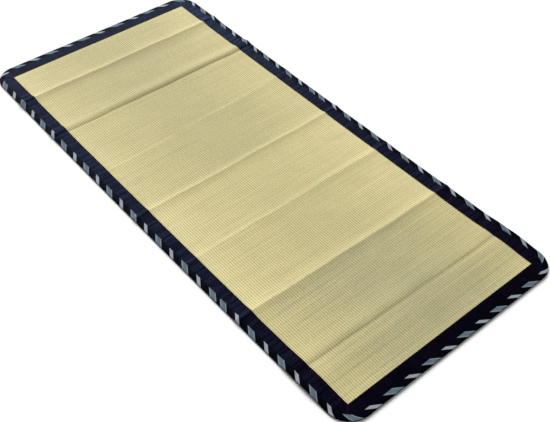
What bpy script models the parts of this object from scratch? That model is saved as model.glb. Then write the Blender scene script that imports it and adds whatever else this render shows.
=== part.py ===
"""Rush sleeping mat bound all round with a dark cloth border, opened out flat after being stored folded.

Metres, +Z up. X runs across the mat and Y runs along it, towards the far end. The origin lies on the
surface under the mat, below its middle.
"""

from collections import namedtuple
from math import asin, cos, degrees, pi, radians, sin, sqrt, tan

import bmesh
import bpy

# Outline of the whole mat
MAT_WIDTH = 0.900
MAT_LENGTH = 1.958
CORNER_RADIUS = 0.080

# Border cloth, folded round the edge of the rush
BORDER_WIDTH = 0.060
CLOTH_THICKNESS = 0.0010
LEFT_JOIN_Y = -0.421
RIGHT_JOIN_Y = 0.121

# Rush panel, woven in ribs that run along the mat
PANEL_THICKNESS = 0.0035
RIB_COUNT = 96
RIB_RISE = 0.0009
SETTLE_RUN = 0.024

# Space left between neighbouring pieces
FIT_GAP = 0.0003

# Both ends of the mat stray a little to the right of its middle, by this many metres for each square metre
# of the distance along it from the bow's centre
BOW_RATE = 0.0052
BOW_CENTRE_Y = 0.150

# How finely the rounded parts are cut
CORNER_STEP = 15
RIM_STEP = 45

# The fold lines, from the near end to the far one. Each line runs straight across the mat from y_left to
# y_right and is lifted off the floor by lift_left and lift_right at its ends. The mat is down on the floor
# again near_run before the line and far_run past it. Where a run is 0, the mat goes straight on to the next
# line.
Crease = namedtuple("Crease", "name y_left y_right lift_left lift_right near_run far_run")
CREASES = (
    Crease("near swell", -0.795, -0.795, 0.0060, 0.0055, 0.0, 0.0),
    Crease("near valley", -0.759, -0.765, 0.0030, 0.0026, 0.0, 0.0),
    Crease("near lip", -0.747, -0.752, 0.0042, 0.0040, 0.0, 0.050),
    Crease("near ridge", -0.517, -0.521, 0.0060, 0.0046, 0.045, 0.025),
    Crease("soft ridge", -0.246, -0.238, 0.0018, 0.0032, 0.045, 0.025),
    Crease("middle ridge", 0.012, 0.020, 0.0040, 0.0050, 0.040, 0.030),
    Crease("faint ridge", 0.250, 0.288, 0.0010, 0.0032, 0.040, 0.035),
    Crease("far lip", 0.505, 0.508, 0.0018, 0.0016, 0.030, 0.0),
    Crease("far valley", 0.516, 0.522, 0.0004, 0.0004, 0.0, 0.0),
    Crease("far swell", 0.545, 0.548, 0.0036, 0.0050, 0.0, 0.050),
    Crease("far ridge", 0.762, 0.768, 0.0078, 0.0065, 0.055, 0.033),
)

# Sizes that follow from those above
FIELD_WIDTH = MAT_WIDTH - 2 * BORDER_WIDTH
FIELD_LENGTH = MAT_LENGTH - 2 * BORDER_WIDTH
PANEL_SEAT = CLOTH_THICKNESS + FIT_GAP
EDGE_THICKNESS = 2 * PANEL_SEAT + PANEL_THICKNESS
RIM_RADIUS = EDGE_THICKNESS / 2
SETTLED_Y = FIELD_LENGTH / 2 - SETTLE_RUN
ARC_Y = MAT_LENGTH / 2 - CORNER_RADIUS

Line = namedtuple("Line", "y_left y_right lift_left lift_right")
Place = namedtuple("Place", "x y")


def across(x, left, right):
    """Return the value at x of something that changes evenly from the mat's left edge to its right one."""
    return left + (right - left) * (x / MAT_WIDTH + 0.5)


def straight_line(y):
    """Return a line square across the mat that lies down on the floor."""
    return Line(y, y, 0.0, 0.0)


def fold_lines():
    """Return every line across the mat where its slope changes, from the near end to the far one."""
    lines = [straight_line(-MAT_LENGTH / 2), straight_line(-SETTLED_Y)]
    for crease in CREASES:
        if crease.near_run:
            lines.append(Line(crease.y_left - crease.near_run, crease.y_right - crease.near_run, 0.0, 0.0))
        lines.append(Line(crease.y_left, crease.y_right, crease.lift_left, crease.lift_right))
        if crease.far_run:
            lines.append(Line(crease.y_left + crease.far_run, crease.y_right + crease.far_run, 0.0, 0.0))
    lines.append(straight_line(SETTLED_Y))
    lines.append(straight_line(MAT_LENGTH / 2))
    return lines


FOLD_LINES = fold_lines()


def lift_at(x, y):
    """Return how far the folds lift the mat off the floor at a place."""
    for near, far in zip(FOLD_LINES, FOLD_LINES[1:]):
        near_y = across(x, near.y_left, near.y_right)
        far_y = across(x, far.y_left, far.y_right)
        if y <= far_y:
            share = max(0.0, y - near_y) / (far_y - near_y)
            near_lift = across(x, near.lift_left, near.lift_right)
            far_lift = across(x, far.lift_left, far.lift_right)
            return near_lift + (far_lift - near_lift) * share
    return 0.0


def seat_at(x, y):
    """Return how far the border's lower layer holds up the panel, which sinks to the floor inside it."""
    inside = min(FIELD_WIDTH / 2 - abs(x), FIELD_LENGTH / 2 - abs(y))
    share = 1 - inside / SETTLE_RUN
    return PANEL_SEAT * min(1.0, max(0.0, share))


def bow_at(y):
    """Return how far the mat strays sideways at y, before it is centred."""
    return BOW_RATE * (y - BOW_CENTRE_Y) ** 2


# Half the sideways stray of the near end, which centres the mat over the origin
BOW_MIDDLE = bow_at(-ARC_Y) / 2


def laid_down(x, y, height):
    """Return the point of the finished mat for a place and a height above its unlifted underside."""
    return (x + bow_at(y) - BOW_MIDDLE, y, lift_at(x, y) + height)


def cloth_material(name, colour, roughness):
    """Return a plain material of one colour."""
    material = bpy.data.materials.new(name)
    material.use_nodes = True
    shader = material.node_tree.nodes["Principled BSDF"]
    shader.inputs["Base Color"].default_value = (*colour, 1.0)
    shader.inputs["Roughness"].default_value = roughness
    shader.inputs["Metallic"].default_value = 0.0
    return material


def add_object(name, bm, material):
    """Turn a closed mesh into a named object of the scene."""
    bmesh.ops.recalc_face_normals(bm, faces=bm.faces)
    mesh = bpy.data.meshes.new(name)
    bm.to_mesh(mesh)
    bm.free()
    mesh.materials.append(material)
    obj = bpy.data.objects.new(name, mesh)
    bpy.context.scene.collection.objects.link(obj)
    return obj


def bridge_rows(bm, rows):
    """Fill the strips between rows that have the same number of vertices."""
    for near, far in zip(rows, rows[1:]):
        for i in range(len(near) - 1):
            bm.faces.new((near[i], near[i + 1], far[i + 1], far[i]))


class PanelOutline:
    """Outer outline of the rush panel, tucked inside the border just short of its rim."""

    half_width = MAT_WIDTH / 2 - RIM_RADIUS
    half_length = MAT_LENGTH / 2 - RIM_RADIUS
    radius = CORNER_RADIUS - RIM_RADIUS
    arc_x = half_width - radius
    arc_y = half_length - radius

    @classmethod
    def edge_x(cls, y):
        """Return how far the panel reaches sideways at y."""
        past = max(0.0, abs(y) - cls.arc_y)
        return cls.arc_x + sqrt(cls.radius**2 - past**2)

    @classmethod
    def end_places(cls, end, row_y):
        """Return the outline past a row, from the left of one end round to its right."""
        first = degrees(asin((abs(row_y) - cls.arc_y) / cls.radius))
        count = round((90 - first) / CORNER_STEP)
        right = []
        for i in range(1, count + 1):
            angle = radians(first + (90 - first) * i / count)
            y = cls.arc_y + cls.radius * sin(angle)
            right.append(Place(cls.arc_x + cls.radius * cos(angle), end * y))
        left = [Place(-place.x, place.y) for place in right]
        return left + right[::-1]


def panel_lines():
    """Return the lines across the panel that its mesh follows, ending where the border covers its ribs."""
    end_line = straight_line(FIELD_LENGTH / 2)
    return [straight_line(-FIELD_LENGTH / 2), *FOLD_LINES[1:-1], end_line]


def row_places(line, columns):
    """Return the places along a fold line at the given columns and at both edges of the panel."""
    edges = []
    for side in (-1, 1):
        y = across(side * PanelOutline.half_width, line.y_left, line.y_right)
        edges.append(Place(side * PanelOutline.edge_x(y), y))
    inner = [Place(x, across(x, line.y_left, line.y_right)) for x in columns]
    return [edges[0], *inner, edges[1]]


def top_row(bm, line):
    """Add one row of the ribbed face: crests and grooves by turns, pressed flat at the border's seam."""
    half_pitch = FIELD_WIDTH / RIB_COUNT / 2
    steps = range(2 * RIB_COUNT + 1)
    columns = [-FIELD_WIDTH / 2 + half_pitch * i for i in steps]
    groove = 0.0 if abs(line.y_left) >= FIELD_LENGTH / 2 else RIB_RISE
    depths = [0.0, *(groove * (i % 2) for i in steps), 0.0]
    row = []
    for place, depth in zip(row_places(line, columns), depths):
        height = seat_at(*place) + PANEL_THICKNESS - depth
        row.append(bm.verts.new(laid_down(*place, height)))
    return row


def bottom_row(bm, line):
    """Add one row of the plain underside."""
    seam_x = FIELD_WIDTH / 2
    settled_x = seam_x - SETTLE_RUN
    places = row_places(line, (-seam_x, -settled_x, settled_x, seam_x))
    return [bm.verts.new(laid_down(*place, seat_at(*place))) for place in places]


def close_panel_end(bm, end, top, bottom):
    """Fill one end of the panel, which lies level inside the border, and its square edge."""
    places = PanelOutline.end_places(end, FIELD_LENGTH / 2)
    upper = [bm.verts.new(laid_down(*place, PANEL_SEAT + PANEL_THICKNESS)) for place in places]
    lower = [bm.verts.new(laid_down(*place, PANEL_SEAT)) for place in places]
    bm.faces.new([*top, *upper[::-1]])
    bm.faces.new([*bottom, *lower[::-1]])
    bridge_rows(bm, [[top[0], *upper, top[-1]], [bottom[0], *lower, bottom[-1]]])


def build_rush_panel():
    """Make the woven panel: one sheet, ribbed above and plain below, that follows the folds."""
    bm = bmesh.new()
    lines = panel_lines()
    tops = [top_row(bm, line) for line in lines]
    bottoms = [bottom_row(bm, line) for line in lines]
    bridge_rows(bm, tops)
    bridge_rows(bm, bottoms)
    for edge in (0, -1):
        bridge_rows(bm, [[row[edge] for row in tops], [row[edge] for row in bottoms]])
    close_panel_end(bm, -1, tops[0], bottoms[0])
    close_panel_end(bm, 1, tops[-1], bottoms[-1])
    return add_object("rush_panel", bm, cloth_material("rush", (0.66, 0.59, 0.27), 0.62))


def side_stations(side, low, high):
    """Return the stations along one long side from y = low to y = high.

    A station is the pair of places where the border's inner edge and its rim cross one fold line.
    """
    x_inner = side * FIELD_WIDTH / 2
    x_outer = side * MAT_WIDTH / 2
    inside = [line for line in FOLD_LINES if low < across(x_outer, line.y_left, line.y_right) < high]
    lines = [straight_line(low), *inside, straight_line(high)]
    return [
        tuple(Place(x, across(x, line.y_left, line.y_right)) for x in (x_inner, x_outer))
        for line in lines
    ]


def corner_stations(side, end):
    """Return the stations round one corner, from the long side to the end.

    They fan out from the middle of the arc. The border's inner edge keeps its square corner.
    """
    reach = CORNER_RADIUS - BORDER_WIDTH
    centre = Place(side * (MAT_WIDTH / 2 - CORNER_RADIUS), end * ARC_Y)
    stations = []
    for step in range(CORNER_STEP, 91, CORNER_STEP):
        angle = radians(step)
        x_inner = reach if step <= 45 else reach * tan(pi / 2 - angle)
        y_inner = reach * tan(angle) if step < 45 else reach
        inner = Place(centre.x + side * x_inner, centre.y + end * y_inner)
        outer_x = centre.x + side * CORNER_RADIUS * cos(angle)
        outer_y = centre.y + end * CORNER_RADIUS * sin(angle)
        stations.append((inner, Place(outer_x, outer_y)))
    return stations


def border_ring(bm, station):
    """Add the border's section at one station: over the top, round the rim and back along its inner face."""
    inner, outer = station
    width = sqrt((outer.x - inner.x) ** 2 + (outer.y - inner.y) ** 2)
    over = Place((outer.x - inner.x) / width, (outer.y - inner.y) / width)
    angles = [radians(a) for a in range(90, -91, -RIM_STEP)]

    def at(distance, height):
        """Add the vertex this far out from the border's inner edge."""
        return bm.verts.new(laid_down(inner.x + over.x * distance, inner.y + over.y * distance, height))

    def rim(radius):
        """Add the half round of one face of the cloth, from its top to its bottom."""
        turn = width - RIM_RADIUS
        return [at(turn + radius * cos(a), RIM_RADIUS + radius * sin(a)) for a in angles]

    outside = [at(0.0, EDGE_THICKNESS), *rim(RIM_RADIUS), at(0.0, 0.0)]
    inside_radius = RIM_RADIUS - CLOTH_THICKNESS
    inside = [at(0.0, EDGE_THICKNESS - CLOTH_THICKNESS), *rim(inside_radius), at(0.0, CLOTH_THICKNESS)]
    return outside + inside[::-1]


def build_border(name, stations, material):
    """Make one length of border cloth, folded round the panel's edge along a run of stations."""
    bm = bmesh.new()
    rings = [border_ring(bm, station) for station in stations]
    bridge_rows(bm, [[*ring, ring[0]] for ring in rings])
    bm.faces.new(rings[0])
    bm.faces.new(rings[-1][::-1])
    return add_object(name, bm, material)


def build_borders():
    """Make the two lengths of border, which meet on the long sides."""
    material = cloth_material("border_cloth", (0.012, 0.015, 0.042), 0.85)
    half_gap = FIT_GAP / 2
    near_stations = [
        *side_stations(-1, -ARC_Y, LEFT_JOIN_Y - half_gap)[::-1],
        *corner_stations(-1, -1),
        *corner_stations(1, -1)[::-1],
        *side_stations(1, -ARC_Y, RIGHT_JOIN_Y - half_gap),
    ]
    far_stations = [
        *side_stations(1, RIGHT_JOIN_Y + half_gap, ARC_Y),
        *corner_stations(1, 1),
        *corner_stations(-1, 1)[::-1],
        *side_stations(-1, LEFT_JOIN_Y + half_gap, ARC_Y)[::-1],
    ]
    build_border("border_near", near_stations, material)
    build_border("border_far", far_stations, material)


def main():
    """Build the mat in an empty scene."""
    for obj in list(bpy.data.objects):
        bpy.data.objects.remove(obj, do_unlink=True)
    build_rush_panel()
    build_borders()


main()
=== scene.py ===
"""Woven rush sleeping mat with a dashed cloth border, opened out flat on a pale floor.

Metres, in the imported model's own frame: X across the mat, Y along it towards the far end, Z up. The mat's
sizes are those of the part's source, and its folds follow the source's folds. Here the folds get their real
profiles, the rush its rounded ribs and strands, and the border its hem, puckers, mitres, stitches and dashes.
"""

import logging
from collections.abc import Sequence
from dataclasses import dataclass
from enum import Enum
from functools import cached_property
from math import cos, pi, radians, sin

import bpy
import numpy as np
from mathutils import Matrix, Vector


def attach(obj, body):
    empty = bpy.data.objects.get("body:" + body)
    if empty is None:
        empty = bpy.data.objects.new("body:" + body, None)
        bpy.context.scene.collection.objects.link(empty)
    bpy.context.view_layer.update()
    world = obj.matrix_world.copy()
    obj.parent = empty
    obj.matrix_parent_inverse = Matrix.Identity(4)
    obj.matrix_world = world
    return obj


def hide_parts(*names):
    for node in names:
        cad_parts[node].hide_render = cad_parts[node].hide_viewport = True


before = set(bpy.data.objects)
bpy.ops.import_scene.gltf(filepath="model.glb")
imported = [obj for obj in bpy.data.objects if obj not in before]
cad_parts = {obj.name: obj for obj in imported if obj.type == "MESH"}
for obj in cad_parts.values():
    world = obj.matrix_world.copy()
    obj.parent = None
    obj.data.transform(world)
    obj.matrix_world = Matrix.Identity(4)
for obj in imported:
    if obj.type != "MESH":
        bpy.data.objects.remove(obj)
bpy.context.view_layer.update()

LOG = logging.getLogger("rush_mat")

Array = np.ndarray
Colour = tuple[float, float, float]
Value = float | bpy.types.NodeSocket


class Crown(Enum):
    """How the mat passes over a fold line: its slope there, over the mean slope beside it."""

    LEVEL = 0.0
    BLUNT = 1.4
    SHARP = 2.1


class Side(Enum):
    """A long side of the mat, as the sign of its x."""

    LEFT = -1
    RIGHT = 1


class End(Enum):
    """A short end of the mat, as the sign of its y."""

    NEAR = -1
    FAR = 1


class Way(Enum):
    """The way in which a border runs round a corner."""

    SIDE_TO_END = 1
    END_TO_SIDE = -1


def eased(low: float, high: float, value: Array) -> Array:
    """Return a soft step from 0 at low to 1 at high.

    Args:
        low: Where the step begins.
        high: Where it ends.
        value: The values to pass through it.

    Returns:
        A number from 0 to 1 for each value.
    """
    share = np.clip((value - low) / (high - low), 0.0, 1.0)
    return share * share * (3.0 - 2.0 * share)


@dataclass(frozen=True)
class Waver:
    """Smooth, uneven waves along a line, alike on each run."""

    seed: int
    lengths: tuple[float, ...]

    def at(self, along: Array) -> Array:
        """Return the waves' height, about -1 to 1.

        Args:
            along: Distances along the line.

        Returns:
            The height at each of them.
        """
        phases = np.random.default_rng(self.seed).uniform(0.0, 2.0 * pi, len(self.lengths))
        waves = [np.sin(2.0 * pi * along / length + phase) for length, phase in zip(self.lengths, phases)]
        return sum(waves) / len(self.lengths) ** 0.5


@dataclass(frozen=True)
class Crease:
    """A fold across the mat, from its left edge to its right one, with how far the mat is lifted there.

    Its sag is the share of the lift that is lost in the middle of the mat, or gained there if below 0.
    """

    name: str
    y_left: float
    y_right: float
    lift_left: float
    lift_right: float
    near_run: float
    far_run: float
    crown: Crown
    sag: float = 0.0


@dataclass(frozen=True)
class PressMark:
    """A thin pressed line in the rush, across part of the mat."""

    name: str
    x_from: float
    x_to: float
    y_from: float
    y_to: float
    depth: float
    half_width: float


@dataclass(frozen=True)
class FoldLine:
    """A line across the mat at which its slope changes."""

    y_left: float
    y_right: float
    lift_left: float
    lift_right: float
    crown: Crown
    sag: float = 0.0


CREASES = (
    Crease("near swell", -0.810, -0.812, 0.0056, 0.0052, 0.0, 0.0, Crown.LEVEL, 0.25),
    Crease("near valley", -0.760, -0.772, 0.0027, 0.0028, 0.0, 0.0, Crown.SHARP, 0.1),
    Crease("near lip", -0.744, -0.750, 0.0048, 0.0038, 0.0, 0.060, Crown.LEVEL),
    Crease("near ridge", -0.513, -0.519, 0.0053, 0.0037, 0.044, 0.036, Crown.SHARP, 0.05),
    Crease("soft ridge", -0.244, -0.237, 0.0018, 0.0032, 0.045, 0.027, Crown.SHARP, 0.22),
    Crease("middle ridge", 0.014, 0.021, 0.0041, 0.0047, 0.038, 0.023, Crown.SHARP, 0.05),
    Crease("faint ridge", 0.255, 0.300, 0.0008, 0.0026, 0.035, 0.050, Crown.BLUNT, 0.85),
    Crease("far lip", 0.510, 0.512, 0.0020, 0.0018, 0.045, 0.0, Crown.LEVEL, 0.75),
    Crease("far valley", 0.517, 0.5205, 0.0001, 0.0001, 0.0, 0.0, Crown.SHARP),
    Crease("far swell", 0.540, 0.546, 0.0040, 0.0060, 0.0, 0.024, Crown.LEVEL, -0.22),
    Crease("far ridge", 0.760, 0.767, 0.0084, 0.0070, 0.054, 0.026, Crown.SHARP, 0.08),
)

PRESS_MARKS = (
    PressMark("near hairline", -0.38, 0.36, -0.630, -0.632, 0.00022, 0.0022),
    PressMark("long hairline", -0.39, 0.39, -0.200, -0.175, 0.00030, 0.0024),
    PressMark("short hairline", -0.39, 0.12, -0.120, -0.121, 0.00022, 0.0022),
    PressMark("right hairline", 0.10, 0.39, -0.355, -0.370, 0.00022, 0.0024),
)


@dataclass(frozen=True)
class MatLie:
    """How the opened mat lies: its outline and layers, as the part's source has them, and its folds."""

    width: float = 0.900
    length: float = 1.958
    corner_radius: float = 0.080
    border_width: float = 0.060
    cloth: float = 0.0010
    rush: float = 0.0035
    fit_gap: float = 0.0003
    settle_run: float = 0.024
    seat_run: float = 0.050
    bow_rate: float = 0.0052
    bow_centre_y: float = 0.150
    stray: float = 0.0011
    rounding: float = 0.0022
    heave: float = 0.0003
    left_join_y: float = -0.421
    right_join_y: float = 0.121
    creases: tuple[Crease, ...] = CREASES
    marks: tuple[PressMark, ...] = PRESS_MARKS

    @property
    def field_x(self) -> float:
        """Half the width of rush that shows inside the border."""
        return self.width / 2 - self.border_width

    @property
    def field_y(self) -> float:
        """Half the length of rush that shows inside the border."""
        return self.length / 2 - self.border_width

    @property
    def seat(self) -> float:
        """How high the border's lower layer holds up the rush."""
        return self.cloth + self.fit_gap

    @property
    def edge_thickness(self) -> float:
        """The thickness of both layers of the border with the rush between them."""
        return 2 * self.seat + self.rush

    @property
    def rim_radius(self) -> float:
        """The radius of the border's rounded rim."""
        return self.edge_thickness / 2

    @property
    def arc_x(self) -> float:
        """The x at which the rounded corners begin."""
        return self.width / 2 - self.corner_radius

    @property
    def arc_y(self) -> float:
        """The y at which the rounded corners begin."""
        return self.length / 2 - self.corner_radius

    @cached_property
    def lines(self) -> tuple[FoldLine, ...]:
        """Every line across the mat where its slope changes, from the near end to the far one."""
        settled_y = self.field_y - self.settle_run
        lines = [self.floor_line(-self.length / 2), self.floor_line(-settled_y)]
        for crease in self.creases:
            if crease.near_run:
                lines.append(self.foot(crease, -crease.near_run))
            lifts = (crease.lift_left, crease.lift_right)
            lines.append(FoldLine(crease.y_left, crease.y_right, *lifts, crease.crown, crease.sag))
            if crease.far_run:
                lines.append(self.foot(crease, crease.far_run))
        return (*lines, self.floor_line(settled_y), self.floor_line(self.length / 2))

    @staticmethod
    def foot(crease: Crease, run: float) -> FoldLine:
        """Return the line on the floor where a crease begins or ends."""
        return FoldLine(crease.y_left + run, crease.y_right + run, 0.0, 0.0, Crown.LEVEL)

    @property
    def valleys(self) -> list[Crease]:
        """The creases at the bottom of a sharp valley."""
        return [crease for crease in self.creases if crease.crown is Crown.SHARP and not crease.near_run]

    @property
    def crests(self) -> list[Crease]:
        """The creases that stand up on their own, from the floor and back to it."""
        return [crease for crease in self.creases if crease.near_run and crease.far_run]

    def nearness(
        self, creases: Sequence[Crease], x: Array, y: Array, width: float, beyond: float = 0.0
    ) -> Array:
        """Return how near each place is to one of some creases.

        Args:
            creases: The creases.
            x: Places across the mat.
            y: Places along it.
            width: How wide the zone beside a crease is.
            beyond: How far past the crease the middle of the zone lies.

        Returns:
            1 in the middle of the zone, falling to 0 beside it.
        """
        near = np.zeros(y.shape)
        for crease in creases:
            middle = self.line_y(crease, x) + beyond
            near = np.maximum(near, np.exp(-(((y - middle) / width) ** 2)))
        return near

    @staticmethod
    def floor_line(y: float) -> FoldLine:
        """Return a line square across the mat that lies on the floor."""
        return FoldLine(y, y, 0.0, 0.0, Crown.LEVEL)

    def across(self, x: Array, left: float, right: float) -> Array:
        """Return the value at x of something that changes evenly from the left edge to the right one."""
        return left + (right - left) * (x / self.width + 0.5)

    def line_y(self, line: FoldLine | Crease, x: Array) -> Array:
        """Return where a fold line runs, with its slight straying.

        Args:
            line: The fold line.
            x: Places across the mat.

        Returns:
            The line's y at each place.
        """
        y = self.across(x, line.y_left, line.y_right)
        inside = eased(0.0, 0.06, self.field_y - np.abs(y))
        slow = np.sin(2 * pi * (x / 0.37 + 1.3 * y)) + 0.6 * np.sin(2 * pi * (x / 0.15 + 2.9 * y))
        return y + self.stray * inside * slow

    def line_lift(self, line: FoldLine, x: Array) -> Array:
        """Return how far a fold line is lifted at each place across the mat."""
        middle = 1 - np.minimum((2 * x / self.width) ** 2, 1.0)
        return self.across(x, line.lift_left, line.lift_right) * (1 - line.sag * middle)

    def lift_at(self, x: Array, y: Array) -> Array:
        """Return how far the folds lift the mat off the floor, each fold line slightly rounded.

        Args:
            x: Places across the mat.
            y: Places along it, of the same shape.

        Returns:
            The lift at each place.
        """
        beside = self.creased_at(x, y - self.rounding) + self.creased_at(x, y + self.rounding)
        return (beside + 2 * self.creased_at(x, y)) / 4

    def creased_at(self, x: Array, y: Array) -> Array:
        """Return the lift with every fold line still sharp.

        Args:
            x: Places across the mat.
            y: Places along it, of the same shape.

        Returns:
            The lift at each place.
        """
        lift = np.zeros(np.broadcast(x, y).shape)
        for near, far in zip(self.lines, self.lines[1:]):
            near_y, far_y = self.line_y(near, x), self.line_y(far, x)
            share = np.clip((y - near_y) / (far_y - near_y), 0.0, 1.0)
            low, high = self.line_lift(near, x), self.line_lift(far, x)
            rise = share**2 * (3 - 2 * share)
            rise = rise + near.crown.value * (share**3 - 2 * share**2 + share)
            rise = rise + far.crown.value * (share**3 - share**2)
            lift = np.where((y > near_y) & (y <= far_y), low + (high - low) * rise, lift)
        return lift

    def marked_at(self, x: Array, y: Array) -> Array:
        """Return how deep the pressed lines are.

        Args:
            x: Places across the mat.
            y: Places along it, of the same shape.

        Returns:
            The depth at each place.
        """
        depth = np.zeros(np.broadcast(x, y).shape)
        for mark in self.marks:
            share = (x - mark.x_from) / (mark.x_to - mark.x_from)
            line = mark.y_from + (mark.y_to - mark.y_from) * share
            line = line + 1.5 * self.stray * np.sin(2 * pi * x / 0.21 + 40 * mark.y_from)
            ends = eased(0.0, 0.12, share) * eased(0.0, 0.12, 1 - share)
            depth += mark.depth * ends * np.exp(-(((y - line) / mark.half_width) ** 2))
        return depth

    def heaved_at(self, x: Array, y: Array) -> Array:
        """Return the gentle unevenness of the whole mat, never below 0.

        Args:
            x: Places across the mat.
            y: Places along it, of the same shape.

        Returns:
            The extra height at each place.
        """
        wide = np.sin(2 * pi * (x / 0.43 + 0.7 * y)) * np.sin(2 * pi * (y / 0.29 - 0.5 * x))
        small = np.sin(2 * pi * (x / 0.17 + 2.0 * y)) * np.sin(2 * pi * (y / 0.11 + 1.1 * x))
        return self.heave * (1.5 + wide + 0.5 * small)

    def seat_at(self, x: Array, y: Array) -> Array:
        """Return how far the border's lower layer holds up the rush, which sinks to the floor inside it.

        Args:
            x: Places across the mat.
            y: Places along it, of the same shape.

        Returns:
            The height of the underside above the floor at each place.
        """
        inside = np.minimum(self.field_x - np.abs(x), self.field_y - np.abs(y))
        return self.seat * (1 - eased(0.0, self.seat_run, inside))

    def laid(self, x: Array, y: Array, height: Array) -> Array:
        """Return the points of the laid mat.

        Args:
            x: Places across the mat, before its slight bow.
            y: Places along it.
            height: Heights above the mat's unlifted underside.

        Returns:
            An array of points, one row each.
        """
        bow = self.bow_rate * (y - self.bow_centre_y) ** 2
        middle = self.bow_rate * (self.arc_y + self.bow_centre_y) ** 2 / 2
        height = height + self.lift_at(x, y) + self.heaved_at(x, y)
        x, y, height = np.broadcast_arrays(x + bow - middle, y, height)
        return np.stack([x, y, height], axis=-1).reshape(-1, 3)

    def edge_x(self, y: Array, inset: float) -> Array:
        """Return how far the rounded outline reaches sideways.

        Args:
            y: Places along the mat.
            inset: How far inside the rim the outline runs.

        Returns:
            The outline's x at each place, on the right.
        """
        radius = self.corner_radius - inset
        past = np.clip(np.abs(y) - self.arc_y, 0.0, radius)
        return self.arc_x + np.sqrt(radius**2 - past**2)


class Pen:
    """Adds the nodes of one tree and joins them."""

    def __init__(self, tree: bpy.types.NodeTree) -> None:
        """Keep the tree that the nodes go into."""
        self.tree = tree

    def node(self, kind: str, **settings: object) -> bpy.types.Node:
        """Add a node.

        Args:
            kind: The node's type, without its ShaderNode prefix.
            settings: Values for the node's own properties.

        Returns:
            The node.
        """
        node = self.tree.nodes.new(kind if kind.startswith("Node") else f"ShaderNode{kind}")
        for name, value in settings.items():
            setattr(node, name, value)
        return node

    def feed(self, socket: bpy.types.NodeSocket, value: object) -> None:
        """Link a socket to another one, or set its value."""
        if isinstance(value, bpy.types.NodeSocket):
            self.tree.links.new(value, socket)
        elif socket.type == "RGBA" and len(value) == 3:
            socket.default_value = (*value, 1.0)
        else:
            socket.default_value = value

    def maths(self, operation: str, *values: Value, clamp: bool = False) -> bpy.types.NodeSocket:
        """Add a Math node.

        Args:
            operation: The node's operation.
            values: Numbers or sockets for its inputs.
            clamp: Whether its result is kept from 0 to 1.

        Returns:
            Its output.
        """
        node = self.node("Math", operation=operation, use_clamp=clamp)
        for socket, value in zip(node.inputs, values):
            self.feed(socket, value)
        return node.outputs[0]

    def step(self, value: Value, low: float, high: float) -> bpy.types.NodeSocket:
        """Add a soft step.

        Args:
            value: The number or socket that passes through it.
            low: Where the result is 0.
            high: Where the result is 1.

        Returns:
            The step's output.
        """
        node = self.node("MapRange", interpolation_type="SMOOTHSTEP", clamp=True)
        for name, number in (("Value", value), ("From Min", low), ("From Max", high)):
            self.feed(node.inputs[name], number)
        return node.outputs["Result"]

    def blend(self, share: Value, first: object, second: object, kind: str = "MIX") -> bpy.types.NodeSocket:
        """Blend two colours.

        Args:
            share: How much of the second shows.
            first: The first colour.
            second: The second colour.
            kind: The way in which they blend.

        Returns:
            The blended colour.
        """
        node = self.node("Mix", data_type="RGBA", blend_type=kind)
        for index, value in ((0, share), (6, first), (7, second)):
            self.feed(node.inputs[index], value)
        return node.outputs[2]

    def ramp(self, value: Value, stops: Sequence[tuple[float, Colour]]) -> bpy.types.NodeSocket:
        """Turn a number into a colour.

        Args:
            value: The number or socket.
            stops: The colours and where they lie.

        Returns:
            The colour's socket.
        """
        node = self.node("ValToRGB")
        elements = node.color_ramp.elements
        while len(elements) < len(stops):
            elements.new(0.5)
        for element, (place, colour) in zip(elements, stops):
            element.position = place
            element.color = (*colour, 1.0)
        self.feed(node.inputs[0], value)
        return node.outputs[0]

    def stretched(self, place: bpy.types.NodeSocket, scale: tuple[float, float, float]) -> bpy.types.NodeSocket:
        """Return a place with each of its coordinates scaled.

        Args:
            place: The place.
            scale: The scale of each coordinate.

        Returns:
            The scaled place.
        """
        node = self.node("VectorMath", operation="MULTIPLY")
        self.feed(node.inputs[0], place)
        self.feed(node.inputs[1], scale)
        return node.outputs[0]

    def scaled(self, colour: bpy.types.NodeSocket, share: bpy.types.NodeSocket) -> bpy.types.NodeSocket:
        """Return a colour made brighter or darker.

        Args:
            colour: The colour.
            share: How bright it becomes, as a share of itself.

        Returns:
            The changed colour.
        """
        node = self.node("VectorMath", operation="SCALE")
        self.feed(node.inputs[0], colour)
        self.feed(node.inputs["Scale"], share)
        return node.outputs[0]

    def noise(self, place: bpy.types.NodeSocket, scale: float, detail: float = 2.0) -> bpy.types.NodeSocket:
        """Return a noise about 0.5.

        Args:
            place: Where it is read.
            scale: How fine it is.
            detail: How many finer layers it has.

        Returns:
            The noise's output.
        """
        node = self.node("TexNoise")
        for name, value in (("Vector", place), ("Scale", scale), ("Detail", detail)):
            self.feed(node.inputs[name], value)
        return node.outputs["Fac"]

    def attribute(self, name: str) -> bpy.types.Node:
        """Add a node that reads one of the mesh's own attributes."""
        return self.node("Attribute", attribute_name=name, attribute_type="GEOMETRY")

    def group(self, group: bpy.types.NodeTree, **values: object) -> bpy.types.Node:
        """Place a shared effect.

        Args:
            group: The effect.
            values: Its inputs, with _ for each space in their names.

        Returns:
            The placed node.
        """
        node = self.node("Group", node_tree=group)
        for name, value in values.items():
            self.feed(node.inputs[name.replace("_", " ")], value)
        return node


@dataclass(frozen=True)
class Port:
    """A named input or output of a shared effect."""

    name: str
    kind: str
    value: float | None = None


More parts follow.
